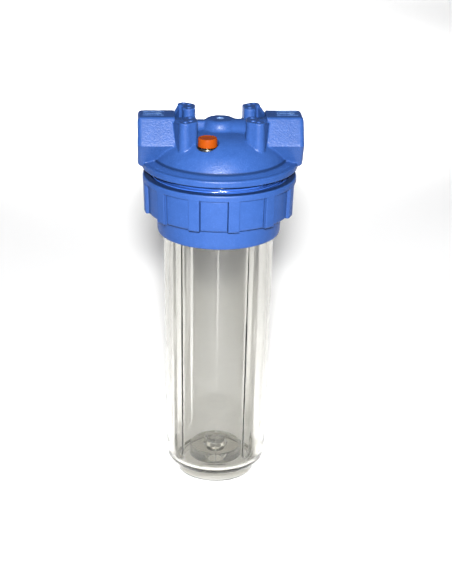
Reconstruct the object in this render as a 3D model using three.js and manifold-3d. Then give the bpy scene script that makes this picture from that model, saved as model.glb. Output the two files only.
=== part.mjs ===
// Cartridge filter housing for a 10 inch (254 mm) cartridge, three-piece type:
// a moulded head with two hexagonal 3/4 inch port blocks, a ring nut that screws
// up onto the head, and a clear bowl hanging in the nut. A sprung push-button vent
// sits in the dome of the head.
// Millimetres, +Z up. The origin is the centre of the foot of the bowl: the housing
// stands on z = 0, its axis is Z, the ports lie along X and the front is -Y.
import * as THREE from 'three';
import { mergeVertices } from 'three/addons/utils/BufferGeometryUtils.js';
import Module from 'manifold-3d';

const wasm = await Module();
wasm.setup();

// ---------------------------------------------------------------- dimensions
const SEG = 32;                    // facets round the large turned shapes
// head
const HEAD_BOTTOM_Z = 250.6;       // lower end of the threaded skirt
const SKIRT_R = 53.6;              // root of the head's male thread
const SKIRT_BORE_R = 48.6;         // bore that the neck of the bowl enters
const LIP_R = 63.7;                // rim over the nut
const LIP_UNDER_Z = 277.0;
const LIP_TOP_Z = 282.8;
const DOME_FOOT_R = 54.2;
const DOME_FOOT_Z = 285.3;
const PORT_Z = 299.3;              // height of the port axis
const PORT_AF = 41.0;              // across the flats of a port hexagon
const PORT_END_X = 67.0;           // face of a port
const PORT_INNER_X = 37.0;         // where the hexagon stands clear of the dome
const PASSAGE_R = 9.5;             // water passages
const CHANNEL_R = 16.0;            // outside of the outlet passage over the dome
const CHANNEL_WALL_R = 12.8;       // outside of the outlet passage under the dome
const NOZZLE_R = 12.6;             // spigot that enters the top of a cartridge
const NOZZLE_BORE_R = 9.0;
const SEAT_R = 25.0;               // flange that seals on the cartridge
const SEAT_Z = 276.2;
const BOSS_TOP_Z = 320.5;          // bracket faces
const PILOT_R = 1.8;               // pilot holes for the bracket screws
const PILOT_DEPTH = 16.0;
const BOSS_POSTS = [               // the three posts of a bracket boss: x, y, radius
  [24.8, 15.8, 4.8], [24.8, 25.5, 5.3], [29.0, 29.2, 4.9]];
const CENTRE_BOSS_Z = 316.0;
// thread between the head and the nut
const PITCH = 6.0;
const MALE_CREST_R = 56.4;
const FEMALE_CREST_R = 54.1;
const NUT_BORE_R = 56.9;
// ring nut
const NUT_TOP_Z = 270.3;
const NUT_TOP_R = 63.0;
const NUT_LOW_Z = 239.9;
const NUT_LOW_R = 62.1;
const PANELS = 12;
const PANEL_DEG = 21.5;
const PANEL_DEPTH = 3.0;
const PANEL_TOP_Z = 265.2;
const PANEL_PHASE_DEG = -96.7;     // centre of one panel, just left of the front
const COLLAR_R = 51.3;
const COLLAR_LOW_R = 50.6;
const COLLAR_BOTTOM_Z = 221.6;
const COLLAR_BORE_R = 47.2;
const SHOULDER_Z = 243.0;          // ledge in the nut that carries the bowl
// bowl
const BOWL_R_TOP = 45.7;
const BOWL_R_MID = 45.1;
const BOWL_R_LOW = 43.2;
const FOOT_R = 33.6;
const FOOT_INNER_R = 29.8;
const FLANGE_R = 52.6;
const FLANGE_Z = 245.0;
const FLANGE_T = 4.6;
const NECK_R = 48.2;
const NECK_TOP_Z = 263.5;
const SEAL_Z = 256.6;
const SEAL_GROOVE_R = 45.4;
const SEAL_SECTION_R = 1.45;
const BOWL_BORE_R = 42.0;
const PLATFORM_R = 22.0;
const PLATFORM_Z = 21.5;
const SPIGOT_R = 10.0;
const SPIGOT_Z = 28.5;
// port inserts, female 3/4 inch thread
const INSERT_R = 16.6;
const INSERT_BORE_R = 12.1;
const INSERT_LENGTH = 18.0;
// vent
const VENT_X = -11.4;
const VENT_Y = -31.7;
const VENT_WELL_R = 9.2;
const VENT_FLOOR_Z = 296.0;
const VENT_BOSS_Z = 291.0;
const BUTTON_R = 7.85;
const BUTTON_TOP_Z = 308.9;
const BUTTON_LOW_Z = 301.9;
const BUTTON_TRAVEL = 2.5;
const STEM_R = 2.0;

// ------------------------------------------------------------------- helpers
function solidOf(geometry) {
  let g = geometry.clone();
  g.deleteAttribute('normal');
  g.deleteAttribute('uv');
  g = mergeVertices(g, 1e-4);
  const p = g.getAttribute('position');
  const index = g.index.array;
  const tri = [];
  let volume = 0;
  const a = new THREE.Vector3(), b = new THREE.Vector3(), c = new THREE.Vector3();
  for (let i = 0; i < index.length; i += 3) {
    const [i0, i1, i2] = [index[i], index[i + 1], index[i + 2]];
    if (i0 === i1 || i1 === i2 || i0 === i2) continue;
    tri.push(i0, i1, i2);
    a.fromBufferAttribute(p, i0); b.fromBufferAttribute(p, i1); c.fromBufferAttribute(p, i2);
    volume += a.dot(b.cross(c));
  }
  if (volume < 0) for (let i = 0; i < tri.length; i += 3) [tri[i + 1], tri[i + 2]] = [tri[i + 2], tri[i + 1]];
  return new wasm.Manifold(new wasm.Mesh({
    numProp: 3, vertProperties: Float32Array.from(p.array), triVerts: Uint32Array.from(tri) }));
}

function geometryOf(solid) {
  const m = solid.getMesh();
  const g = new THREE.BufferGeometry();
  const v = new Float32Array(m.numVert * 3);
  for (let i = 0; i < m.numVert; i++) for (let k = 0; k < 3; k++) v[3 * i + k] = m.vertProperties[i * m.numProp + k];
  g.setAttribute('position', new THREE.BufferAttribute(v, 3));
  g.setIndex(new THREE.BufferAttribute(Uint32Array.from(m.triVerts), 1));
  g.computeVertexNormals();
  return g;
}

// a profile of [radius, height] pairs turned about the Z axis
function turned(profile, segments = SEG) {
  const g = new THREE.LatheGeometry(profile.map(([r, z]) => new THREE.Vector2(r, z)), segments);
  g.rotateX(Math.PI / 2);
  return g;
}
const turnedSolid = (profile, segments) => solidOf(turned(profile, segments));

// an outline of [x, y] pairs raised from z0 to z1
function prism(outline, z0, z1) {
  const g = new THREE.ExtrudeGeometry(new THREE.Shape(outline.map(([x, y]) => new THREE.Vector2(x, y))),
    { depth: z1 - z0, bevelEnabled: false, curveSegments: 12 });
  g.translate(0, 0, z0);
  return g;
}

function post(x, y, r0, r1, z0, z1, segments = 16) {
  const g = new THREE.CylinderGeometry(r1, r0, z1 - z0, segments);
  g.rotateX(Math.PI / 2);
  g.rotateZ(Math.PI / segments);
  g.translate(x, y, (z0 + z1) / 2);
  return solidOf(g);
}

// a round bar along X
function barX(x0, x1, r, z, segments = 24) {
  const g = new THREE.CylinderGeometry(r, r, x1 - x0, segments);
  g.rotateZ(Math.PI / 2);
  g.translate((x0 + x1) / 2, 0, z);
  return solidOf(g);
}

// a closed loft through rings of points that all have the same count
function loft(rings) {
  const n = rings[0].length;
  const pos = [];
  for (const ring of rings) for (const p of ring) pos.push(p[0], p[1], p[2]);
  const idx = [];
  for (let k = 0; k + 1 < rings.length; k++) {
    for (let i = 0; i < n; i++) {
      const j = (i + 1) % n;
      const a = k * n + i, b = k * n + j, c = (k + 1) * n + j, d = (k + 1) * n + i;
      idx.push(a, b, c, a, c, d);
    }
  }
  for (let i = 1; i + 1 < n; i++) {
    idx.push(0, i + 1, i);
    const e = (rings.length - 1) * n;
    idx.push(e, e + i, e + i + 1);
  }
  const g = new THREE.BufferGeometry();
  g.setAttribute('position', new THREE.BufferAttribute(Float32Array.from(pos), 3));
  g.setIndex(idx);
  return g;
}

// a right-hand helical ridge: the section's root lies at rRoot, its crest at rCrest,
// and it runs out to nothing at both ends
function ridge(rRoot, rCrest, rootWidth, crestWidth, zStart, turns, segments = SEG, phase = 0) {
  const steps = Math.round(turns * segments);
  const fade = Math.round(segments / 10);
  const rings = [];
  for (let i = 0; i <= steps; i++) {
    const t = phase + (i / segments) * 2 * Math.PI;
    const z = zStart + PITCH * (i / segments);
    const f = Math.max(0.12, Math.min(1, Math.min(i, steps - i) / fade));
    const rc = rRoot + (rCrest - rRoot) * f;
    const w0 = rootWidth / 2, w1 = (rootWidth + (crestWidth - rootWidth) * f) / 2;
    const c = Math.cos(t), s = Math.sin(t);
    rings.push([[rRoot * c, rRoot * s, z - w0], [rc * c, rc * s, z - w1],
      [rc * c, rc * s, z + w1], [rRoot * c, rRoot * s, z + w0]]);
  }
  return loft(rings);
}

const mirrorX = (pts) => pts.map(([x, y]) => [-x, y]).reverse();
const mirrorY = (pts) => pts.map(([x, y]) => [x, -y]).reverse();

const blue = new THREE.MeshStandardMaterial({ color: 0x3f74d6, roughness: 0.5, metalness: 0 });
const clear = new THREE.MeshStandardMaterial({ color: 0xe6e7e4, roughness: 0.06, metalness: 0, transparent: true, opacity: 0.35 });
const orange = new THREE.MeshStandardMaterial({ color: 0xee6a1c, roughness: 0.45, metalness: 0 });
const brass = new THREE.MeshStandardMaterial({ color: 0xb99547, roughness: 0.35, metalness: 1 });
const steel = new THREE.MeshStandardMaterial({ color: 0xb9bcc0, roughness: 0.3, metalness: 1 });
const rubber = new THREE.MeshStandardMaterial({ color: 0x15161a, roughness: 0.7, metalness: 0 });
const acetal = new THREE.MeshStandardMaterial({ color: 0xe9e7df, roughness: 0.5, metalness: 0 });

const part = new THREE.Group();
part.name = 'cartridge_filter_housing';
function add(name, geometry, material, group = part) {
  const mesh = new THREE.Mesh(geometry, material.clone());
  mesh.name = name;
  group.add(mesh);
  return mesh;
}

// ---------------------------------------------------------------------- head
const domeOutside = [[DOME_FOOT_R, DOME_FOOT_Z], [52.6, 288.3], [50.2, 292.2], [47.6, 295.6], [44.6, 298.4],
  [41.0, 301.0], [36.5, 303.5], [31.0, 305.7], [24.0, 307.3], [15.0, 308.2], [0, 308.4]];
let head = turnedSolid([[0, HEAD_BOTTOM_Z], [52.6, HEAD_BOTTOM_Z], [SKIRT_R, HEAD_BOTTOM_Z + 1], [SKIRT_R, LIP_UNDER_Z],
  [62.9, LIP_UNDER_Z], [LIP_R, 277.8], [LIP_R, 281.4], [62.9, 282.5], [61.4, LIP_TOP_Z], [59.6, 283.0], ...domeOutside]);

// hexagonal port blocks with rounded outer ends
const hexPoint = (af, k) => {
  const r = af / Math.sqrt(3);
  return [r * Math.cos(k * Math.PI / 3), r * Math.sin(k * Math.PI / 3)];
};
for (const side of [-1, 1]) {
  const rings = [];
  for (const [x, af] of [[24.0, PORT_AF], [PORT_END_X - 2.4, PORT_AF], [PORT_END_X - 0.7, PORT_AF - 1.4],
    [PORT_END_X, PORT_AF - 4.6]]) {
    const ring = [];
    for (let k = 0; k < 6; k++) { const [y, z] = hexPoint(af, k); ring.push([side * x, y, PORT_Z + z]); }
    rings.push(ring);
  }
  let block = solidOf(loft(rings));
  // the hexagon stands clear of the dome only outside PORT_INNER_X
  const trim = side < 0 ? [[-PORT_INNER_X, -40], [0, -40], [0, 40], [-PORT_INNER_X, 40]]
    : [[0, -40], [PORT_INNER_X, -40], [PORT_INNER_X, 40], [0, 40]];
  block = block.subtract(solidOf(prism(trim, 270, 330)));
  head = head.add(block);
}

// outlet passage over the right of the dome, and the lower bar on the left
head = head.add(barX(0, PORT_INNER_X + 1, CHANNEL_R, PORT_Z, 24));
head = head.add(solidOf(loft([-38, 0].map((x) => [[x, -9.5, 304], [x, -7.2, 308.0], [x, -3.2, 314.5],
  [x, 3.2, 314.5], [x, 7.2, 308.0], [x, 9.5, 304]]))));
for (const side of [-1, 1]) {   // the shelf between the port block and the passage
  head = head.add(solidOf(loft([26.5, 38].map((x) => [[side * x, -13.5, 303], [side * x, -9.8, 313.4],
    [side * x, -8.0, 314.5], [side * x, 8.0, 314.5], [side * x, 9.8, 313.4], [side * x, 13.5, 303]]))));
}
head = head.add(turnedSolid([[0, 303], [17.2, 303], [17.2, 307.4], [15.6, 308.6], [14.5, 310.2], [13.4, 312.6],
  [12.1, 314.7], [10.4, CENTRE_BOSS_Z], [0, CENTRE_BOSS_Z]], 24));

// four bracket bosses: three posts joined by webs, and a gusset out to the port block
for (const sx of [-1, 1]) {
  for (const sy of [-1, 1]) {
    let boss = null;
    for (const [x, y, r] of BOSS_POSTS) {
      const p = post(sx * x, sy * y, r + 0.9, r, 292, BOSS_TOP_Z, 14);
      boss = boss ? boss.add(p) : p;
    }
    const web = (pts, z1) => {
      let o = pts;
      if (sx < 0) o = mirrorX(o);
      if (sy < 0) o = mirrorY(o);
      return solidOf(prism(o, 292, z1));
    };
    boss = boss.add(web([[20.0, 15.8], [29.3, 15.8], [29.3, 25.5], [20.0, 25.5]], BOSS_TOP_Z));
    boss = boss.add(web([[27.0, 21.5], [31.0, 24.5], [25.5, 30.5], [21.5, 28.5]], BOSS_TOP_Z));
    const lower = [[33.2, 31.2], [30.4, 29.0], [34.2, 16.0], [36.4, 11.0], [38.2, 11.0], [37.0, 22.8]];
    const upper = [[33.0, 30.2], [30.2, 28.0], [35.0, 15.0], [36.6, 11.0], [39.0, 11.0], [38.7, 14.0]];
    const topZ = [320.3, 320.3, 318.0, 317.0, 316.6, 316.4];
    boss = boss.add(solidOf(loft([lower.map(([x, y]) => [sx * x, sy * y, 296]),
      upper.map(([x, y], i) => [sx * x, sy * y, topZ[i]])])));
    head = head.add(boss);
  }
}

// inside of the dome and skirt
head = head.subtract(turnedSolid([[0, 249], [SKIRT_BORE_R + 0.8, 249], [SKIRT_BORE_R + 0.8, HEAD_BOTTOM_Z + 0.4], [SKIRT_BORE_R, HEAD_BOTTOM_Z + 1.6],
  [SKIRT_BORE_R, 265.0], [47.4, 267.0], [47.4, 283.0], [46.0, 288.0], [42.8, 293.0], [37.6, 297.2], [30.6, 300.6],
  [20.0, 302.8], [0, 303.4]]));
// outlet passage and cartridge seat under the dome
head = head.add(turnedSolid([[0, 267.0], [11.8, 267.0], [NOZZLE_R, 268.4], [NOZZLE_R, SEAT_Z], [18.8, SEAT_Z],
  [20.0, 275.0], [21.2, SEAT_Z], [SEAT_R, SEAT_Z], [SEAT_R, 279.0], [15.0, 281.0], [NOZZLE_R, 286.0], [NOZZLE_R, 305.0], [0, 305.0]], 24));
head = head.add(barX(0, 47.0, CHANNEL_WALL_R, PORT_Z, 18));
head = head.subtract(barX(0, 70, PASSAGE_R, PORT_Z, 16));
head = head.subtract(turnedSolid([[0, 260], [NOZZLE_BORE_R, 260], [NOZZLE_BORE_R, PORT_Z], [0, PORT_Z]], 18));
head = head.subtract(barX(-70, -PORT_INNER_X, PASSAGE_R, PORT_Z, 16));
for (const side of [-1, 1]) {
  const x = [side * (PORT_END_X - INSERT_LENGTH - 0.8), side * (PORT_END_X + 4)].sort((p, q) => p - q);
  head = head.subtract(barX(x[0], x[1], INSERT_R + 0.3, PORT_Z, 24));
}
// boss and well of the vent
const ventTube = (r, z0, z1, n = 20) => post(VENT_X, VENT_Y, r, r, z0, z1, n);
head = head.add(ventTube(VENT_WELL_R + 2.2, VENT_BOSS_Z, 297.0));
head = head.subtract(ventTube(VENT_WELL_R, VENT_FLOOR_Z, 330));
head = head.subtract(ventTube(3.4, 280, 300, 14));
// pilot holes
for (const sx of [-1, 1]) for (const sy of [-1, 1]) for (const [x, y] of BOSS_POSTS)
  head = head.subtract(post(sx * x, sy * y, PILOT_R * 0.85, PILOT_R, BOSS_TOP_Z - PILOT_DEPTH, BOSS_TOP_Z + 1, 8));
// moulding gate mark on the centre boss
head = head.subtract(post(0, 0, 2.6, 3.2, CENTRE_BOSS_Z - 0.5, CENTRE_BOSS_Z + 1, 12));
// male thread
head = head.add(solidOf(ridge(SKIRT_R - 0.8, MALE_CREST_R, 3.0 + 0.86, 1.8, 255.0, 2.9)));
add('head', geometryOf(head), blue);

// ------------------------------------------------------------------ ring nut
let nut = turnedSolid([[COLLAR_BORE_R, 222.6], [48.2, COLLAR_BOTTOM_Z], [49.4, COLLAR_BOTTOM_Z], [50.4, 222.4], [COLLAR_LOW_R, 223.8],
  [COLLAR_R, 239.0], [COLLAR_R + 0.3, NUT_LOW_Z], [NUT_LOW_R - 0.8, NUT_LOW_Z], [NUT_LOW_R, 240.7], [62.9, 265.0],
  [NUT_TOP_R, 269.4], [62.2, NUT_TOP_Z], [58.0, NUT_TOP_Z], [NUT_BORE_R, 269.2], [NUT_BORE_R, 252.0], [53.7, 250.2],
  [53.7, SHOULDER_Z], [COLLAR_BORE_R, SHOULDER_Z], [COLLAR_BORE_R, 222.6]]);
for (let k = 0; k < PANELS; k++) {
  const mid = THREE.MathUtils.degToRad(PANEL_PHASE_DEG + k * 360 / PANELS);
  const half = THREE.MathUtils.degToRad(PANEL_DEG / 2);
  const low = [], high = [];
  for (let i = 0; i <= 2; i++) {
    const t = mid - half + (i / 2) * 2 * half;
    low.push([(NUT_LOW_R - PANEL_DEPTH) * Math.cos(t), (NUT_LOW_R - PANEL_DEPTH) * Math.sin(t)]);
    high.push([(62.9 - PANEL_DEPTH) * Math.cos(t), (62.9 - PANEL_DEPTH) * Math.sin(t)]);
  }
  const far = [1, -1].map((q) => [72 * Math.cos(mid + q * half * 0.96), 72 * Math.sin(mid + q * half * 0.96)]);
  const z0 = 237.0;
  const ringAt = (pts, z) => [...pts, ...far].map(([x, y]) => [x, y, z]);
  nut = nut.subtract(solidOf(loft([ringAt(low, z0), ringAt(low, NUT_LOW_Z), ringAt(high, PANEL_TOP_Z)])));
}
nut = nut.add(solidOf(ridge(NUT_BORE_R + 0.6, FEMALE_CREST_R, 3.0 + 0.6, 1.8, 254.0, 2.0, SEG, Math.PI * (2 / 3))));
add('ring_nut', geometryOf(nut), blue);

// ---------------------------------------------------------------------- bowl
let bowl = turnedSolid([[0, 7.6], [27.6, 7.6], [FOOT_INNER_R, 0], [FOOT_R - 0.6, 0],
  [FOOT_R, 0.7], [34.3, 7.4], [35.2, 8.9], [37.6, 9.6], [40.0, 11.3], [41.7, 13.8], [42.5, 17.0], [BOWL_R_LOW, 26.0], [BOWL_R_MID, 154.0],
  [BOWL_R_TOP, 200.0], [BOWL_R_TOP + 0.2, FLANGE_Z], [FLANGE_R, FLANGE_Z],
  [FLANGE_R, FLANGE_Z + FLANGE_T], [NECK_R, FLANGE_Z + FLANGE_T], [NECK_R, SEAL_Z - 1.8], [SEAL_GROOVE_R, SEAL_Z - 1.8],
  [SEAL_GROOVE_R, SEAL_Z + 1.8], [NECK_R, SEAL_Z + 1.8], [NECK_R, NECK_TOP_Z - 1.0], [NECK_R - 1.0, NECK_TOP_Z], [BOWL_BORE_R + 0.2, NECK_TOP_Z],
  [41.4, 154.0], [39.6, 28.0], [38.9, 19.0], [36.2, 14.6], [31.6, 12.6], [PLATFORM_R + 0.4, 12.6],
  [PLATFORM_R, 20.9], [PLATFORM_R - 0.7, PLATFORM_Z], [SPIGOT_R + 0.2, PLATFORM_Z],
  [SPIGOT_R - 0.4, SPIGOT_Z - 0.8], [SPIGOT_R - 1.4, SPIGOT_Z], [0, SPIGOT_Z]]);
// hollow under the spigot
bowl = bowl.subtract(turnedSolid([[0, 0], [7.0, 0], [6.2, 21.5], [5.0, 23.0], [0, 23.6]], 24));
add('bowl', geometryOf(bowl), clear);

// O-ring in the groove of the neck
function ringOf(r, section, z, around, across) {
  const profile = [];
  for (let i = 0; i <= across; i++) {
    const t = (i % across) * 2 * Math.PI / across + Math.PI / across;
    profile.push([r + section * Math.cos(t), z + section * Math.sin(t)]);
  }
  return turnedSolid(profile, around);
}
add('bowl_seal', geometryOf(ringOf((SEAL_GROOVE_R + SKIRT_BORE_R) / 2, SEAL_SECTION_R, SEAL_Z, SEG, 6)), rubber);

// slip ring between the flange and the nut
add('slip_ring', geometryOf(turnedSolid([[47.6, 243.3], [53.2, 243.3], [53.2, 244.7],
  [47.6, 244.7], [47.6, 243.3]])), acetal);

// ------------------------------------------------------------- port inserts
for (const [name, side] of [['inlet_insert', -1], ['outlet_insert', 1]]) {
  const L = INSERT_LENGTH;
  const g = turned([[INSERT_BORE_R, 0], [INSERT_BORE_R, L - 1.4], [13.4, L], [INSERT_R - 0.5, L], [INSERT_R, L - 0.5],
    [INSERT_R, L - 7.0], [INSERT_R - 1.0, L - 7.6], [INSERT_R - 1.0, L - 10.0], [INSERT_R, L - 10.6], [INSERT_R, 0],
    [INSERT_BORE_R, 0]], 24);
  g.rotateY(Math.PI / 2);
  const solid = solidOf(g);
  const insert = add(name, geometryOf(solid), brass);
  if (side < 0) insert.rotation.z = Math.PI;
  insert.position.set(side * (PORT_END_X - L - 0.5), 0, PORT_Z);
}

// --------------------------------------------------------------------- vent
const vent = new THREE.Group();
vent.position.set(VENT_X, VENT_Y, 0);
part.add(vent);
// black grommet lining the well
add('vent_grommet', geometryOf(turnedSolid([[8.2, 296.4], [8.75, 296.4], [8.75, 300.2], [8.2, 300.2],
  [8.2, 296.4]], 24)), rubber, vent);
// washer on the floor of the well, under the spring
add('vent_washer', geometryOf(turnedSolid([[2.6, 296.4], [7.5, 296.4], [7.5, 297.2], [2.6, 297.2], [2.6, 296.4]], 24)), steel, vent);
// button: a cap with a hub that grips the stem
add('vent_button', geometryOf(turnedSolid([[0, 307.4], [2.2, 307.4], [2.2, 303.4], [3.6, 303.2], [3.6, 307.0], [6.4, 307.0], [6.6, BUTTON_LOW_Z],
  [BUTTON_R, BUTTON_LOW_Z], [BUTTON_R - 0.25, 307.7], [BUTTON_R - 0.75, 308.6], [BUTTON_R - 1.6, BUTTON_TOP_Z], [0, BUTTON_TOP_Z]], 24)), orange, vent);
// stem with its poppet under the head
add('vent_stem', geometryOf(turnedSolid([[0, 287.6], [4.6, 287.6], [5.2, 288.2], [5.2, 289.2], [3.0, 289.2], [3.0, 290.4], [STEM_R, 291.2],
  [STEM_R - 0.1, 307.1], [0, 307.1]], 16)), brass, vent);
add('vent_poppet_seal', geometryOf((() => {
  const profile = [];
  for (let i = 0; i <= 6; i++) {
    const t = (i % 6) * Math.PI / 3 + Math.PI / 6;
    profile.push([4.1 + 0.72 * Math.cos(t), 290.05 + 0.66 * Math.sin(t)]);
  }
  return turnedSolid(profile, 18);
})()), rubber, vent);
// compression spring between the washer and the button
class Coil extends THREE.Curve {
  constructor(r, z0, z1, turns) { super(); Object.assign(this, { r, z0, z1, turns }); }
  getPoint(t, out = new THREE.Vector3()) {
    const a = 2 * Math.PI * this.turns * t;
    return out.set(this.r * Math.cos(a), this.r * Math.sin(a), this.z0 + (this.z1 - this.z0) * t);
  }
}
const wire = [];
for (let i = 0; i < 5; i++) wire.push(new THREE.Vector2(0.4 * Math.cos(i * Math.PI / 2.5), 0.4 * Math.sin(i * Math.PI / 2.5)));
add('vent_spring', geometryOf(solidOf(new THREE.ExtrudeGeometry(new THREE.Shape(wire),
  { steps: 54, extrudePath: new Coil(4.9, 297.8, 306.2, 4.5), bevelEnabled: false }))), steel, vent);

export default part;
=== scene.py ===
"""Cartridge filter housing: the looks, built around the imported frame. Millimetres inside, metres in Blender."""
import math
import bpy
import bmesh
import numpy as np
from mathutils import Matrix, Vector


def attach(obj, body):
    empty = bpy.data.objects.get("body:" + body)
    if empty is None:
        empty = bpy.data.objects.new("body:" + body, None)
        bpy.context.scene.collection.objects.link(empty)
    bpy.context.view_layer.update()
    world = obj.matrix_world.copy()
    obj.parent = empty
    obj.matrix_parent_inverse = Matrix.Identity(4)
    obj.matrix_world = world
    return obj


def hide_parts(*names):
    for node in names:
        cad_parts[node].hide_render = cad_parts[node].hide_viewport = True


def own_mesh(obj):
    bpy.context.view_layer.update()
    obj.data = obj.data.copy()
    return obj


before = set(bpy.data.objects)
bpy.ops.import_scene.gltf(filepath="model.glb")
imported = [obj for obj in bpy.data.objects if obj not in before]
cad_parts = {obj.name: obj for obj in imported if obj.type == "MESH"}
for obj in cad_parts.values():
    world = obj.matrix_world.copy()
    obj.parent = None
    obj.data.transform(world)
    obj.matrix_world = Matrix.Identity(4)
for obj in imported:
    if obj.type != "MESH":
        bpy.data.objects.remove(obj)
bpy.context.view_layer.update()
MM = 0.001

# ------------------------------------------------------------------ dimensions (mm), as in the frame
PORT_Z, PORT_AF, PORT_END, PORT_INNER = 299.3, 41.0, 67.0, 37.0
PASSAGE_R, CHANNEL_R, CHANNEL_WALL_R = 9.5, 16.0, 12.8
SKIRT_R, SKIRT_BORE_R, HEAD_BOTTOM = 53.6, 48.6, 250.6
LIP_R, LIP_UNDER = 63.7, 277.0
BOSS_TOP = 320.5
BOSS_POSTS = [(24.8, 15.8, 4.8), (24.8, 25.5, 5.3), (29.0, 29.2, 4.9)]
PITCH = 6.0
VENT_X, VENT_Y, WELL_R, WELL_FLOOR = -11.4, -31.7, 9.2, 296.0
INSERT_R, INSERT_BORE_R, INSERT_LEN = 16.6, 12.1, 18.0
NUT_TOP, NUT_LOW = 270.3, 239.2
PANEL_PHASE, PANEL_DEG, PANEL_DEPTH, PANEL_TOP = -96.7, 21.5, 3.0, 265.2

DOME = [(54.2, 285.3), (52.6, 288.3), (50.2, 292.2), (47.6, 295.6), (44.6, 298.4), (41.0, 301.0), (36.5, 303.5),
        (31.0, 305.7), (24.0, 307.3), (15.0, 308.2), (0.0, 308.4)]


def dome_z(r):
    pts = np.array(smooth_curve(DOME, 6))[::-1]
    return np.interp(r, pts[:, 0], pts[:, 1])


# ------------------------------------------------------------------ curves and profiles
def smooth_curve(pts, sub=6):
    """Catmull-Rom through the points."""
    p = [np.array(q, float) for q in pts]
    p = [2 * p[0] - p[1]] + p + [2 * p[-1] - p[-2]]
    out = []
    for i in range(1, len(p) - 2):
        for k in range(sub):
            t = k / sub
            a, b, c, d = p[i - 1], p[i], p[i + 1], p[i + 2]
            q = 0.5 * ((2 * b) + (c - a) * t + (2 * a - 5 * b + 4 * c - d) * t * t + (3 * b - a - 3 * c + d) * t ** 3)
            out.append((float(q[0]), float(q[1])))
    out.append((float(p[-2][0]), float(p[-2][1])))
    return out


def rounded(pts, closed=True, seg=5):
    """A polygon of (x, y, radius) corners with each corner turned into an arc."""
    out = []
    n = len(pts)
    for i, (x, y, r) in enumerate(pts):
        if r <= 0 or (not closed and i in (0, n - 1)):
            out.append((x, y))
            continue
        p = Vector((x, y))
        a = Vector(pts[i - 1][:2]) - p
        b = Vector(pts[(i + 1) % n][:2]) - p
        la, lb = a.length, b.length
        a.normalize(); b.normalize()
        ang = a.angle(b)
        if ang > math.radians(178):
            out.append((x, y))
            continue
        t = min(r / math.tan(ang / 2), 0.48 * la, 0.48 * lb)
        rr = t * math.tan(ang / 2)
        bis = (a + b).normalized()
        centre = p + bis * (rr / math.sin(ang / 2))
        s, e = p + a * t - centre, p + b * t - centre
        a0, a1 = math.atan2(s.y, s.x), math.atan2(e.y, e.x)
        d = (a1 - a0 + math.pi) % (2 * math.pi) - math.pi
        for k in range(seg + 1):
            w = a0 + d * k / seg
            out.append((centre.x + rr * math.cos(w), centre.y + rr * math.sin(w)))
    return out


# ------------------------------------------------------------------ meshes
def make_object(name, verts, faces, smooth=True):
    me = bpy.data.meshes.new(name)
    me.from_pydata([tuple(v) for v in verts], [], faces)
    me.validate()
    ob = bpy.data.objects.new(name, me)
    bpy.context.scene.collection.objects.link(ob)
    if smooth:
        me.polygons.foreach_set("use_smooth", [True] * len(me.polygons))
    return ob


def volume_of(ob):
    bm = bmesh.new(); bm.from_mesh(ob.data)
    v = bm.calc_volume(signed=True)
    bm.free()
    return v


def outward(ob):
    if volume_of(ob) < 0:
        ob.data.flip_normals()
    return ob


def crease(ob, degrees=35):
    """Smooth shading broken at corners sharper than this."""
    bm = bmesh.new(); bm.from_mesh(ob.data)
    lim = math.radians(degrees)
    for e in bm.edges:
        e.smooth = len(e.link_faces) == 2 and e.calc_face_angle(0.0) < lim
    bm.to_mesh(ob.data); bm.free()
    return ob


def lathe(name, profile, seg=96, centre=(0.0, 0.0), closed=True, crease_deg=35):
    """A profile of (radius, z) in mm turned about a vertical axis. Points at radius 0 become poles."""
    verts, rows = [], []
    for r, z in profile:
        if r < 1e-6:
            rows.append([len(verts)] * seg)
            verts.append((centre[0] * MM, centre[1] * MM, z * MM))
        else:
            rows.append(list(range(len(verts), len(verts) + seg)))
            for i in range(seg):
                t = 2 * math.pi * i / seg
                verts.append(((centre[0] + r * math.cos(t)) * MM, (centre[1] + r * math.sin(t)) * MM, z * MM))
    faces = []
    n = len(rows)
    last = n if closed else n - 1
    for k in range(last):
        a, b = rows[k], rows[(k + 1) % n]
        if a[0] == a[1] and b[0] == b[1]:
            continue
        for i in range(seg):
            j = (i + 1) % seg
            f = [a[i], a[j], b[j], b[i]]
            g = []
            for v in f:
                if v not in g:
                    g.append(v)
            if len(g) > 2:
                faces.append(g)
    ob = outward(make_object(name, verts, faces))
    return crease(ob, crease_deg) if crease_deg else ob


def join(name, obs):
    """One object from several, each already in place."""
    bm = bmesh.new()
    for o in obs:
        bm.from_mesh(o.data)
    me = bpy.data.meshes.new(name)
    bm.to_mesh(me); bm.free()
    for o in obs:
        bpy.data.objects.remove(o)
    ob = bpy.data.objects.new(name, me)
    bpy.context.scene.collection.objects.link(ob)
    return ob


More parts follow.
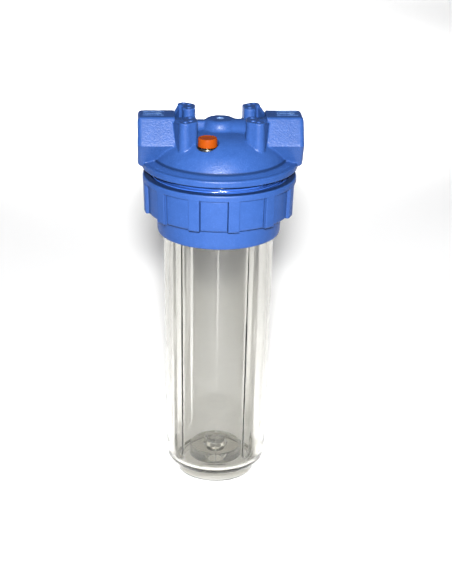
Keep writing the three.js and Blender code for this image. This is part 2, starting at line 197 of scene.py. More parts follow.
# ------------------------------------------------------------------ distance fields on a grid
class Field:
    """A solid as distances on a grid: pieces are joined and cut with a fillet between them."""

    def __init__(self, lo, hi, h):
        self.h = h
        self.lo = np.array(lo, float)
        self.n = [int(math.ceil((b - a) / h)) + 1 for a, b in zip(lo, hi)]
        self.ax = [self.lo[i] + h * np.arange(self.n[i]) for i in range(3)]
        self.d = np.full(self.n, 4.0, np.float32)

    def block(self, lo, hi, pad):
        sl = []
        for i in range(3):
            a = max(0, int(math.floor((lo[i] - pad - self.lo[i]) / self.h)))
            b = min(self.n[i], int(math.ceil((hi[i] + pad - self.lo[i]) / self.h)) + 1)
            sl.append(slice(a, b))
        X = self.ax[0][sl[0]][:, None, None].astype(np.float32)
        Y = self.ax[1][sl[1]][None, :, None].astype(np.float32)
        Z = self.ax[2][sl[2]][None, None, :].astype(np.float32)
        return tuple(sl), X, Y, Z

    def join(self, lo, hi, f, k=0.8):
        sl, X, Y, Z = self.block(lo, hi, max(3.0, k + 1))
        self.d[sl] = smin(self.d[sl], f(X, Y, Z), k)

    def cut(self, lo, hi, f, k=0.5):
        sl, X, Y, Z = self.block(lo, hi, max(3.0, k + 1))
        self.d[sl] = -smin(-self.d[sl], f(X, Y, Z), k)

    def mesh(self, name, adaptivity=0.0):
        import openvdb
        d = np.clip(self.d, -3.0, 3.0).astype(np.float32)
        d[0], d[-1], d[:, 0], d[:, -1], d[:, :, 0], d[:, :, -1] = 3.0, 3.0, 3.0, 3.0, 3.0, 3.0
        grid = openvdb.FloatGrid(3.0)
        grid.copyFromArray(d)
        pts, tris, quads = grid.convertToPolygons(isovalue=0.0, adaptivity=adaptivity)
        pts = (np.asarray(pts, float) * self.h + self.lo) * MM
        me = bpy.data.meshes.new(name)
        nt, nq = len(tris), len(quads)
        me.vertices.add(len(pts)); me.vertices.foreach_set("co", pts.astype(np.float32).ravel())
        me.loops.add(3 * nt + 4 * nq)
        me.loops.foreach_set("vertex_index", np.concatenate([np.asarray(tris).ravel(), np.asarray(quads).ravel()]).astype(np.int32))
        me.polygons.add(nt + nq)
        starts = np.concatenate([3 * np.arange(nt), 3 * nt + 4 * np.arange(nq)]).astype(np.int32)
        me.polygons.foreach_set("loop_start", starts)
        me.update(calc_edges=True)
        me.validate()
        me.polygons.foreach_set("use_smooth", [True] * len(me.polygons))
        ob = bpy.data.objects.new(name, me)
        bpy.context.scene.collection.objects.link(ob)
        return outward(ob)


def smin(a, b, k):
    if k <= 0:
        return np.minimum(a, b)
    h = np.maximum(k - np.abs(a - b), 0.0) / k
    return np.minimum(a, b) - h * h * (k * 0.25)


def smax(a, b, k):
    return -smin(-a, -b, k)


def polygon_distance(poly, px, py):
    """Signed distance from points to a closed polygon, negative inside."""
    best = np.full(px.shape, 1e9)
    inside = np.zeros(px.shape, bool)
    n = len(poly)
    for i in range(n):
        ax, ay = poly[i]; bx, by = poly[(i + 1) % n]
        ex, ey = bx - ax, by - ay
        L = ex * ex + ey * ey
        if L < 1e-12:
            continue
        t = np.clip(((px - ax) * ex + (py - ay) * ey) / L, 0, 1)
        dx, dy = px - ax - ex * t, py - ay - ey * t
        best = np.minimum(best, dx * dx + dy * dy)
        c = ((ay > py) != (by > py)) & (px < (bx - ax) * (py - ay) / (by - ay + 1e-30) + ax)
        inside ^= c
    return np.where(inside, -1, 1) * np.sqrt(best)


def revolved(poly, cx=0.0, cy=0.0, step=0.25):
    """The distance function of a (r, z) polygon turned about a vertical axis. The polygon lies at r >= 0."""
    poly = list(poly) + [(-r, z) for r, z in reversed(poly)]

    def f(X, Y, Z):
        z = Z.ravel()
        r = np.sqrt((X - cx) ** 2 + (Y - cy) ** 2)[:, :, 0]
        m = int(math.ceil(r.max() / step)) + 2
        rr = step * np.arange(m)
        T = polygon_distance(poly, rr[:, None] + 0 * z[None, :], z[None, :] + 0 * rr[:, None]).astype(np.float32)
        q = r / step
        i = np.minimum(q.astype(int), m - 2)
        w = (q - i).astype(np.float32)[:, :, None]
        return T[i] * (1 - w) + T[i + 1] * w
    return f


def cylinder_x(x0, x1, r, z, k=0.6):
    return lambda X, Y, Z: smax(np.sqrt(Y * Y + (Z - z) ** 2) - r, np.maximum(x0 - X, X - x1), k)


def cylinder_z(x, y, r0, r1, z0, z1, k=0.6):
    """A round post from radius r0 at z0 to r1 at z1."""
    def f(X, Y, Z):
        r = r0 + (r1 - r0) * (Z - z0) / (z1 - z0)
        return smax(np.sqrt((X - x) ** 2 + (Y - y) ** 2) - r, np.maximum(z0 - Z, Z - z1) + 0 * X, k)
    return f


# ------------------------------------------------------------------ materials
def mat_new(name):
    m = bpy.data.materials.new(name)
    m.use_nodes = True
    nt = m.node_tree
    for n in list(nt.nodes):
        nt.nodes.remove(n)
    out = nt.nodes.new("ShaderNodeOutputMaterial")
    bs = nt.nodes.new("ShaderNodeBsdfPrincipled")
    nt.links.new(bs.outputs[0], out.inputs[0])
    return m, nt, bs, out


def node(nt, kind, **props):
    n = nt.nodes.new(kind)
    for k, v in props.items():
        if k in n.inputs:
            n.inputs[k].default_value = v
        else:
            setattr(n, k, v)
    return n


def ramp(nt, src, stops):
    r = nt.nodes.new("ShaderNodeValToRGB")
    r.color_ramp.elements[0].position, r.color_ramp.elements[0].color = stops[0][0], stops[0][1]
    r.color_ramp.elements[1].position, r.color_ramp.elements[1].color = stops[-1][0], stops[-1][1]
    for p, c in stops[1:-1]:
        e = r.color_ramp.elements.new(p); e.color = c
    nt.links.new(src, r.inputs[0])
    return r.outputs[0]


def grey(v):
    return (v, v, v, 1)


def plastic(name, colour, dark, bump=0.5, rough=(0.36, 0.5), spec=0.5, grain_mm=0.9, leather=0.5, corner=0.55, painted_glint=0.10, marks_and_shade=False, ring_bump_and_highlight_pitch=0.0):
    """Moulded plastic: fine grain over a soft leather, mottled colour, light specks as painted glints, varying
    roughness, rubbed edges, and painted shade darkening concave corners and the places a mesh attribute marks.
    """
    m, nt, bs, out = mat_new(name)
    tc = node(nt, "ShaderNodeTexCoord")
    fine = node(nt, "ShaderNodeTexNoise", Scale=1.0 / (grain_mm * MM), Detail=2.0, Roughness=0.6)
    hide = node(nt, "ShaderNodeTexVoronoi", Scale=1.0 / (1.9 * grain_mm * MM))
    mid = node(nt, "ShaderNodeTexNoise", Scale=1.0 / (6.0 * MM), Detail=3.0, Roughness=0.55)
    big = node(nt, "ShaderNodeTexNoise", Scale=1.0 / (40.0 * MM), Detail=2.0, Roughness=0.5)
    for n in (fine, hide, mid, big):
        nt.links.new(tc.outputs["Object"], n.inputs["Vector"])
    geo = node(nt, "ShaderNodeNewGeometry")

    def blend_colour(a_sock, b_col, fac):
        mx = node(nt, "ShaderNodeMix", data_type="RGBA")
        if isinstance(a_sock, tuple):
            mx.inputs["A"].default_value = a_sock
        else:
            nt.links.new(a_sock, mx.inputs["A"])
        mx.inputs["B"].default_value = b_col
        nt.links.new(fac, mx.inputs["Factor"])
        return mx.outputs["Result"]

    def scaled(sock, k):
        mu = node(nt, "ShaderNodeMath", operation="MULTIPLY"); mu.inputs[1].default_value = k
        nt.links.new(sock, mu.inputs[0])
        return mu.outputs[0]
    f = ramp(nt, mid.outputs[0], [(0.34, grey(0)), (0.68, grey(1))])
    c1 = blend_colour((*colour, 1), (*dark, 1), f)
    f2 = scaled(ramp(nt, big.outputs[0], [(0.4, grey(0)), (0.64, grey(1))]), 0.4)
    c2 = blend_colour(c1, (*dark, 1), f2)
    # painted glints: light specks in the base colour where the fine grain is high
    glint_mask = scaled(ramp(nt, fine.outputs[0], [(0.55, grey(0)), (0.72, grey(1))]), painted_glint * 4)
    c3 = blend_colour(c2, (*[min(1, v * 1.5 + 0.01) for v in colour], 1), glint_mask)
    rub = scaled(ramp(nt, geo.outputs["Pointiness"], [(0.53, grey(0)), (0.62, grey(1))]), 0.3)
    c4 = blend_colour(c3, (*[min(1, v * 1.35 + 0.015) for v in colour], 1), rub)
    # painted shade: concave creases and corners darkened in the base colour
    painted_crease_shade = scaled(ramp(nt, geo.outputs["Pointiness"], [(0.40, grey(1)), (0.485, grey(0))]), corner)
    c5 = blend_colour(c4, (*[v * 0.22 for v in colour], 1), painted_crease_shade)
    # painted shade: darkening where the mesh attribute marks it (panel feet, panel tops, the nut's top under the lip)
    at = node(nt, "ShaderNodeAttribute", attribute_name="painted_crevice_shade")
    c5 = blend_colour(c5, (*[v * 0.16 for v in colour], 1), at.outputs["Fac"])
    if marks_and_shade:
        sp = node(nt, "ShaderNodeSeparateXYZ"); nt.links.new(tc.outputs["Object"], sp.inputs[0])

        def calc(op, a, b=None, c=None):
            mu = node(nt, "ShaderNodeMath", operation=op)
            for i, v in enumerate((a, b, c)):
                if v is None:
                    continue
                if isinstance(v, (int, float)):
                    mu.inputs[i].default_value = v
                else:
                    nt.links.new(v, mu.inputs[i])
            return mu.outputs[0]

        def near(sock, at_mm, half_mm):
            # 1 on the line, 0 from half_mm away
            d = calc("ABSOLUTE", calc("SUBTRACT", sock, at_mm * MM))
            mu = calc("SUBTRACT", 1.0, calc("DIVIDE", d, half_mm * MM))
            mu = calc("MULTIPLY", mu, 1.6)
            return calc("MINIMUM", calc("MAXIMUM", mu, 0.0), 1.0)
        rad = calc("SQRT", calc("ADD", calc("MULTIPLY", sp.outputs[0], sp.outputs[0]), calc("MULTIPLY", sp.outputs[1], sp.outputs[1])))
        # painted shade: a dark line at the foot of the dome, in the step under it
        dome_foot_shade = calc("MULTIPLY", near(rad, 54.5, 1.3), near(sp.outputs[2], 285.0, 1.5))
        c5 = blend_colour(c5, (*[v * 0.3 for v in colour], 1), scaled(dome_foot_shade, 0.9))
        # lighter mottled patches on the tops of the raised arrows
        arrow_top = calc("MULTIPLY", calc("GREATER_THAN", sp.outputs[2], 0.32002), calc("GREATER_THAN", calc("ABSOLUTE", sp.outputs[0]), 0.044))
        patch = ramp(nt, hide.outputs["Distance"], [(0.25, grey(0.15)), (0.6, grey(0.85))])
        c5 = blend_colour(c5, (0.12, 0.22, 0.44, 1), calc("MULTIPLY", arrow_top, patch))
        gate = calc("MULTIPLY", calc("LESS_THAN", rad, 0.0030), calc("GREATER_THAN", sp.outputs[2], 0.315))
        c5 = blend_colour(c5, (0.24, 0.38, 0.62, 1), calc("MULTIPLY", gate, ramp(nt, fine.outputs[0], [(0.40, grey(0.0)), (0.6, grey(0.9))])))
    nt.links.new(c5, bs.inputs["Base Color"])
    rg = ramp(nt, fine.outputs[0], [(0.3, grey(rough[0])), (0.7, grey(rough[1]))])
    nt.links.new(rg, bs.inputs["Roughness"])
    b1 = node(nt, "ShaderNodeBump", Strength=leather, Distance=0.10 * MM)
    nt.links.new(hide.outputs["Distance"], b1.inputs["Height"])
    b2 = node(nt, "ShaderNodeBump", Strength=bump, Distance=0.14 * MM)
    nt.links.new(fine.outputs[0], b2.inputs["Height"])
    nt.links.new(b1.outputs[0], b2.inputs["Normal"])
    if ring_bump_and_highlight_pitch:
        # fine turns that follow the thread: a bump and a painted highlight along each turn
        sp = node(nt, "ShaderNodeSeparateXYZ"); nt.links.new(tc.outputs["Object"], sp.inputs[0])
        turn = node(nt, "ShaderNodeMath", operation="ARCTAN2")
        nt.links.new(sp.outputs[1], turn.inputs[0]); nt.links.new(sp.outputs[0], turn.inputs[1])
        wave = node(nt, "ShaderNodeMath", operation="MULTIPLY_ADD"); wave.inputs[1].default_value = -2 * math.pi / (ring_bump_and_highlight_pitch * MM)
        nt.links.new(sp.outputs[2], wave.inputs[0]); nt.links.new(turn.outputs[0], wave.inputs[2])
        sn = node(nt, "ShaderNodeMath", operation="SINE"); nt.links.new(wave.outputs[0], sn.inputs[0])
        crest_highlight = ramp(nt, scaled(sn.outputs[0], 0.5), [(0.0, grey(0.0)), (0.42, grey(1.0))])
        nt.links.new(blend_colour(c5, (*[min(1, v * 2.4) for v in colour], 1), crest_highlight), bs.inputs["Base Color"])
        b3 = node(nt, "ShaderNodeBump", Strength=0.9, Distance=0.22 * MM)
        nt.links.new(sn.outputs[0], b3.inputs["Height"]); nt.links.new(b3.outputs[0], b1.inputs["Normal"])
    nt.links.new(b2.outputs[0], bs.inputs["Normal"])
    bs.inputs["Specular IOR Level"].default_value = spec
    bs.inputs["IOR"].default_value = 1.49
    return m


def metal(name, colour, rough=(0.2, 0.38), scale_mm=1.2, stretch=(1, 1, 12)):
    m, nt, bs, out = mat_new(name)
    tc = node(nt, "ShaderNodeTexCoord")
    mp = node(nt, "ShaderNodeMapping"); mp.inputs["Scale"].default_value = stretch
    nt.links.new(tc.outputs["Object"], mp.inputs["Vector"])
    n1 = node(nt, "ShaderNodeTexNoise", Scale=1.0 / (scale_mm * MM), Detail=4.0)
    n2 = node(nt, "ShaderNodeTexNoise", Scale=1.0 / (6 * MM), Detail=2.0)
    nt.links.new(mp.outputs[0], n1.inputs["Vector"]); nt.links.new(tc.outputs["Object"], n2.inputs["Vector"])
    c = ramp(nt, n2.outputs[0], [(0.35, (*[v * 0.82 for v in colour], 1)), (0.65, (*colour, 1))])
    nt.links.new(c, bs.inputs["Base Color"])
    r = ramp(nt, n1.outputs[0], [(0.3, grey(rough[0])), (0.7, grey(rough[1]))])
    nt.links.new(r, bs.inputs["Roughness"])
    b = node(nt, "ShaderNodeBump", Strength=0.15, Distance=0.02 * MM)
    nt.links.new(n1.outputs[0], b.inputs["Height"]); nt.links.new(b.outputs[0], bs.inputs["Normal"])
    bs.inputs["Metallic"].default_value = 1.0
    return m


def clear_plastic(name):
    """Clear moulded bowl: a little smoky where it is thick, with flow ripples and fine wear."""
    m, nt, bs, out = mat_new(name)
    tc = node(nt, "ShaderNodeTexCoord")
    mp = node(nt, "ShaderNodeMapping"); mp.inputs["Scale"].default_value = (1, 1, 0.12)
    nt.links.new(tc.outputs["Object"], mp.inputs["Vector"])
    ripple = node(nt, "ShaderNodeTexNoise", Scale=1.0 / (16 * MM), Detail=2.0, Roughness=0.45)
    nt.links.new(mp.outputs[0], ripple.inputs["Vector"])
    haze = node(nt, "ShaderNodeTexNoise", Scale=1.0 / (9 * MM), Detail=3.0)
    nt.links.new(tc.outputs["Object"], haze.inputs["Vector"])
    r = ramp(nt, haze.outputs[0], [(0.35, grey(0.012)), (0.75, grey(0.06))])
    nt.links.new(r, bs.inputs["Roughness"])
    b = node(nt, "ShaderNodeBump", Strength=0.22, Distance=0.35 * MM)
    nt.links.new(ripple.outputs[0], b.inputs["Height"]); nt.links.new(b.outputs[0], bs.inputs["Normal"])
    bs.inputs["Base Color"].default_value = (0.97, 0.97, 0.965, 1)
    bs.inputs["Transmission Weight"].default_value = 1.0
    bs.inputs["IOR"].default_value = 1.56
    through = node(nt, "ShaderNodeBsdfTransparent"); through.inputs["Color"].default_value = (0.75, 0.75, 0.742, 1)
    lamp_ray = node(nt, "ShaderNodeLightPath")
    mx = node(nt, "ShaderNodeMixShader")
    either = node(nt, "ShaderNodeMath", operation="MAXIMUM")
    nt.links.new(lamp_ray.outputs["Is Shadow Ray"], either.inputs[0]); nt.links.new(lamp_ray.outputs["Is Diffuse Ray"], either.inputs[1])
    nt.links.new(either.outputs[0], mx.inputs[0])
    nt.links.new(bs.outputs[0], mx.inputs[1]); nt.links.new(through.outputs[0], mx.inputs[2])
    nt.links.new(mx.outputs[0], out.inputs["Surface"])
    va = node(nt, "ShaderNodeVolumeAbsorption")
    va.inputs["Color"].default_value = (0.80, 0.785, 0.72, 1)
    va.inputs["Density"].default_value = 90.0
    nt.links.new(va.outputs[0], out.inputs["Volume"])
    return m


M_BLUE = plastic("blue_moulded", (0.0156, 0.0470, 0.163), (0.0128, 0.0400, 0.143), bump=1.0, rough=(0.28, 0.45), spec=0.22, leather=0.75, grain_mm=0.8, painted_glint=0.13, marks_and_shade=True)
M_BLUE_NUT = plastic("blue_moulded_nut", (0.0158, 0.0475, 0.166), (0.0135, 0.0425, 0.151), bump=0.55, rough=(0.38, 0.5), spec=0.20, leather=0.2, grain_mm=0.8, painted_glint=0.12)
# the head's plastic, glossier and darker: the darker colour is painted shade for the thread under the lip
M_BLUE_GLOSS_SHADED = plastic("blue_thread_shaded", (0.0100, 0.0330, 0.135), (0.0080, 0.0260, 0.110), bump=0.05, rough=(0.10, 0.2), spec=0.6, leather=0.0, painted_glint=0.0, ring_bump_and_highlight_pitch=1.7)
M_ORANGE = plastic("orange_moulded", (0.188, 0.0325, 0.0014), (0.168, 0.0275, 0.0012), bump=0.15, rough=(0.36, 0.46), spec=0.07, grain_mm=0.5, leather=0.1, corner=0.3, painted_glint=0.04)
M_RUBBER = plastic("black_rubber", (0.006, 0.006, 0.007), (0.004, 0.004, 0.0045), bump=0.3, rough=(0.45, 0.65), spec=0.4, leather=0.1, corner=0.2)
M_ACETAL = plastic("white_acetal", (0.36, 0.355, 0.335), (0.32, 0.315, 0.295), bump=0.15, rough=(0.35, 0.5), spec=0.4, leather=0.1, corner=0.3)
M_BRASS = metal("machined_brass", (0.78, 0.60, 0.30))
M_STEEL = metal("stainless_steel", (0.42, 0.42, 0.41), rough=(0.3, 0.45))
M_CLEAR = clear_plastic("clear_bowl_plastic")


def finish_piece(ob, material, body, slot, *nodes):
    ob.data.materials.clear()
    ob.data.materials.append(material)
    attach(ob, body)
    if nodes:
        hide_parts(*nodes)
    return ob


# ------------------------------------------------------------------ head
def build_head():
    h = 0.5
    F = Field((-69.5, -66.0, 248.0), (69.5, 66.0, 323.0), h)
    full = ((-70, -66, 248), (70, 66, 323))
    outline = rounded([(0, 250.6, 0), (52.6, 250.6, 0.5), (SKIRT_R, 252.0, 0.5), (SKIRT_R, LIP_UNDER, 0.5), (LIP_R, LIP_UNDER, 0.8),
                       (LIP_R, 282.5, 2.1), (60.8, 282.5, 2.0), (56.4, 284.4, 1.2), (55.4, 284.3, 0.2), (54.2, 285.3, 0.0)], closed=False, seg=5)
    outline += smooth_curve(DOME, 6)[1:]
    F.join(*full, revolved(outline), 0)

    # hexagonal port blocks
    c30, s30 = math.cos(math.radians(30)), math.sin(math.radians(30))
    ap = PORT_AF / 2

    def hexblock(side):
        def f(X, Y, Z):
            y, z = np.abs(Y), Z - PORT_Z
            a = np.abs(z) - ap
            b = y * c30 + np.abs(z) * s30 - ap
            d = smax(a, b, 1.4)
            x = side * X
            ends = np.maximum(PORT_INNER - x, -1e3)
            d = smax(d, ends, 0.7)
            return smax(d, x - PORT_END, 4.2)
        return f
    for side in (-1, 1):
        lo = (PORT_INNER, -24, 278) if side > 0 else (-PORT_END, -24, 278)
        hi = (PORT_END, 24, 320) if side > 0 else (-PORT_INNER, 24, 320)
        F.join(lo, hi, hexblock(side), 1.6)

    # outlet passage over the right of the dome, bar on the left, shelves beside the ports, centre boss
    F.join((0, -17, 290), (38, 17, 316), cylinder_x(-2, 38, CHANNEL_R, PORT_Z), 2.2)

    def bar(X, Y, Z):
        y = np.abs(Y)
        side = ((y - 3.4) * 6.5 + (Z - 314.5) * 4.0) / 7.63
        d = smax(Z - 314.5, side, 0.9)
        return np.maximum(d, np.maximum(-38 - X, X - 0.0))
    F.join((-38, -12, 302), (0, 12, 315), bar, 2.4)
    for side in (-1, 1):
        def shelf(X, Y, Z, side=side):
            y = np.abs(Y)
            g = ((y - 8.5) * 11.5 + (Z - 314.5) * 4.5) / 12.35
            d = smax(Z - 314.5, g, 1.2)
            x = side * X
            return smax(d, np.maximum(27.0 - x, x - 38.5) + 0 * Y, 2.0)
        F.join((26.5 if side > 0 else -38.5, -14, 302), (38.5 if side > 0 else -26.5, 14, 315), shelf, 1.6)
    boss = [(0, 303), (19.5, 303)] + smooth_curve([(19.5, 307.3), (17.2, 307.9), (15.6, 308.9), (14.4, 310.6), (13.5, 312.7), (12.3, 314.6), (10.8, 315.7),
                                                   (9.2, 316.0), (0, 316.05)], 4)
    F.join((-20, -20, 302), (20, 20, 316.5), revolved(boss), 0.8)

    # bracket bosses
    for sx in (-1, 1):
        for sy in (-1, 1):
            def local(f, sx=sx, sy=sy):
                return lambda X, Y, Z: f(sx * X, sy * Y, Z)

            def posts(X, Y, Z):
                draft = 0.9 * (BOSS_TOP - Z) / 28.5
                d = None
                for (x0, y0, r0), (x1, y1, r1) in zip(BOSS_POSTS[:-1], BOSS_POSTS[1:]):
                    ex, ey = x1 - x0, y1 - y0
                    t = np.clip(((X - x0) * ex + (Y - y0) * ey) / (ex * ex + ey * ey), 0, 1)
                    q = np.sqrt((X - x0 - t * ex) ** 2 + (Y - y0 - t * ey) ** 2) - (r0 + (r1 - r0) * t) - draft
                    d = q if d is None else smin(d, q, 0.8)
                return d

            def gusset(X, Y, Z):
                o = (X - 33.4) * 0.958 + (Y - 31.0) * 0.286 + (Z - 320.5) * 0.027
                i = -(o + 2.7)
                top = Z - (320.2 - 0.245 * (31.0 - Y))
                d = smax(o, i, 0.5)
                d = smax(d, top * 0.97, 0.9)
                return smax(d, np.maximum(9.5 - Y, Y - 30.6), 0.6)

            def both(X, Y, Z):
                d = smin(posts(X, Y, Z), gusset(X, Y, Z), 0.7)
                d = smax(d, Z - BOSS_TOP, 0.9)
                return np.maximum(d, 290.0 - Z)
            xs = sorted((sx * 17, sx * 41)); ys = sorted((sy * 8, sy * 36))
            F.join((xs[0], ys[0], 290), (xs[1], ys[1], 321), local(both), 0.9)

    # hollow of the skirt and dome, then what stands inside it
    inner = [(0, 246), (SKIRT_BORE_R + 0.8, 246), (SKIRT_BORE_R + 0.8, HEAD_BOTTOM + 0.4), (SKIRT_BORE_R, HEAD_BOTTOM + 1.6), (SKIRT_BORE_R, 265.0),
             (47.4, 267.0)] + smooth_curve([(47.4, 267), (47.4, 276), (47.4, 283.0), (46.0, 288.0), (42.8, 293.0), (37.6, 297.2), (30.6, 300.6), (20.0, 302.8), (0, 303.4)], 4)[1:]
    F.cut(*full, revolved(inner), 0.6)
    nozzle = rounded([(0, 267.0, 0), (11.8, 267.0, 0.6), (12.6, 268.4, 0.4), (12.6, 276.2, 0.3), (18.8, 276.2, 0), (20.0, 275.0, 0.3), (21.2, 276.2, 0),
                      (25, 276.2, 0.5), (25, 279.0, 0.6), (15.0, 281.0, 2), (12.6, 286.0, 2), (12.6, 304.0, 0), (0, 304.0, 0)], closed=False, seg=4)
    F.join((-26, -26, 266), (26, 26, 305), revolved(nozzle), 1.0)
    F.join((0, -14, 284), (47, 14, 313), cylinder_x(0, 47, CHANNEL_WALL_R, PORT_Z), 1.0)
    F.join((VENT_X - 12, VENT_Y - 12, 290), (VENT_X + 12, VENT_Y + 12, 298), cylinder_z(VENT_X, VENT_Y, WELL_R + 2.2, WELL_R + 2.2, 291.0, 297.0), 1.0)
    # passages
    F.cut((0, -10, 288), (70, 10, 310), cylinder_x(0, 75, PASSAGE_R, PORT_Z, 0), 0.4)
    F.cut((-10, -10, 260), (10, 10, 300), cylinder_z(0, 0, 9.0, 9.0, 255, PORT_Z, 0), 0.6)
    F.cut((-70, -10, 288), (-37, 10, 310), cylinder_x(-75, -PORT_INNER, PASSAGE_R, PORT_Z, 0), 0.6)
    for side in (-1, 1):
        x0, x1 = sorted((side * (PORT_END - INSERT_LEN - 0.8), side * 75))
        F.cut((x0, -18, 281), (x1, 18, 318), cylinder_x(x0, x1, INSERT_R + 0.25, PORT_Z, 0), 0.5)
    # vent well
    F.cut((VENT_X - 10, VENT_Y - 10, WELL_FLOOR), (VENT_X + 10, VENT_Y + 10, 312), cylinder_z(VENT_X, VENT_Y, 9.0, 9.0, WELL_FLOOR, 330, 0), 0.3)
    F.cut((VENT_X - 4, VENT_Y - 4, 285), (VENT_X + 4, VENT_Y + 4, 300), cylinder_z(VENT_X, VENT_Y, 3.4, 3.4, 280, 305, 0), 0.3)
    # pilot holes
    for sx in (-1, 1):
        for sy in (-1, 1):
            for x, y, r in BOSS_POSTS:
                F.cut((sx * x - 3, sy * y - 3, 303), (sx * x + 3, sy * y + 3, 322), cylinder_z(sx * x, sy * y, 1.5, 1.85, 304.5, 324, 0), 0.35)
    # raised arrows on the port blocks that show which way the water goes
    for side in (-1, 1):
        def arrow(X, Y, Z, side=side):
            x = X - side * 54.0
            shaft = np.maximum(np.abs(x + 3.0) - 5.4, np.abs(Y) - 1.0)
            tip = np.maximum(np.maximum(2.2 - x, (x * 0.78 + np.abs(Y) * 0.63) - 5.4), np.abs(Y) - 3.4)
            bar1 = np.maximum(np.abs(x) - 8.6, np.abs(np.abs(Y) - 5.4) - 0.55)
            d = np.minimum(np.minimum(shaft, tip), bar1)
            return np.maximum(np.maximum(d, Z - 320.25), 318.5 - Z)
        xs = sorted((side * 43, side * 65))
        F.join((xs[0], -8, 318.8), (xs[1], 8, 320.4), arrow, 0.25)
    # gate mark
    F.cut((-4, -4, 315), (4, 4, 318), cylinder_z(0, 0, 2.6, 3.2, 315.4, 318, 0), 0.4)

    ob = F.mesh("head_shell")
    return ob


def thin(ob, target):
    """Fewer triangles where the surface is flat."""
    n_tri = sum(len(p.vertices) - 2 for p in ob.data.polygons)
    if n_tri > target:
        dm = ob.modifiers.new("thin", "DECIMATE"); dm.ratio = target / n_tri
        dg = bpy.context.evaluated_depsgraph_get()
        me = bpy.data.meshes.new_from_object(ob.evaluated_get(dg))
        old = ob.data; ob.modifiers.clear(); ob.data = me; bpy.data.meshes.remove(old)
        ob.data.polygons.foreach_set("use_smooth", [True] * len(ob.data.polygons))
    return ob


def ridge(name, r_root, r_crest, section, z_start, turns, phase=0.0, per_turn=120, fade=0.09, pitch=PITCH):
    """A right-hand helical ridge. section holds (share of height, half width) from root to crest; it runs out to nothing at its ends."""
    pts = [(h, -w) for h, w in section] + [(h, w) for h, w in reversed(section)]
    steps = int(round(turns * per_turn))
    verts, faces = [], []
    m = len(pts)
    for i in range(steps + 1):
        u = i / per_turn
        t = phase + 2 * math.pi * u
        e = min(u, turns - u) / fade
        f = 0.04 + 0.96 * (0 if e <= 0 else 1 if e >= 1 else e * e * (3 - 2 * e))
        for h, w in pts:
            r = r_root + (r_crest - r_root) * h * f
            ww = w if h <= 0 else w * (0.45 + 0.55 * f)
            verts.append((r * math.cos(t) * MM, r * math.sin(t) * MM, (z_start + pitch * u + ww) * MM))
    for i in range(steps):
        for k in range(m):
            a0, b0 = i * m + k, i * m + (k + 1) % m
            faces.append([a0, b0, b0 + m, a0 + m])
    faces.append(list(range(m))[::-1])
    faces.append([steps * m + k for k in range(m)])
    return outward(make_object(name, verts, faces))


THREAD = [(0.0, 1.95), (0.30, 1.62), (0.62, 1.26), (0.86, 1.02), (0.95, 0.86), (1.0, 0.62), (1.0, 0.3)]

shell = thin(build_head(), 176000)
head = join("head_shell", [shell, ridge("male", SKIRT_R - 0.6, 56.4, THREAD, 255.0, 2.9)])
finish_piece(head, M_BLUE, "head", "blue_pp", "head")
head.data.materials.append(M_BLUE_GLOSS_SHADED)
# the thread and skirt under the lip get the darker, painted-shade copy of the blue
for p in head.data.polygons:
    q = p.center
    if q.z < 0.2769 and 0.0528 < math.hypot(q.x, q.y) < 0.0575:
        p.material_index = 1


flat_first = head.modifiers.new("flat_first", "WEIGHTED_NORMAL")
flat_first.mode = "FACE_AREA"; flat_first.weight = 60; flat_first.keep_sharp = False


# ------------------------------------------------------------------ ring nut
def tensor_lathe(name, angles, ring_of, closed=True):
    """A closed profile per angle, all with the same count, turned into one skin."""
    rows = [ring_of(t) for t in angles]
    m, n = len(rows[0]), len(angles)
    verts = [(r * math.cos(t) * MM, r * math.sin(t) * MM, z * MM) for t, row in zip(angles, rows) for r, z in row]
    faces = []
    for i in range(n):
        j = (i + 1) % n
        for k in range(m if closed else m - 1):
            q = (k + 1) % m
            faces.append([i * m + k, j * m + k, j * m + q, i * m + q])
    return outward(make_object(name, verts, faces))


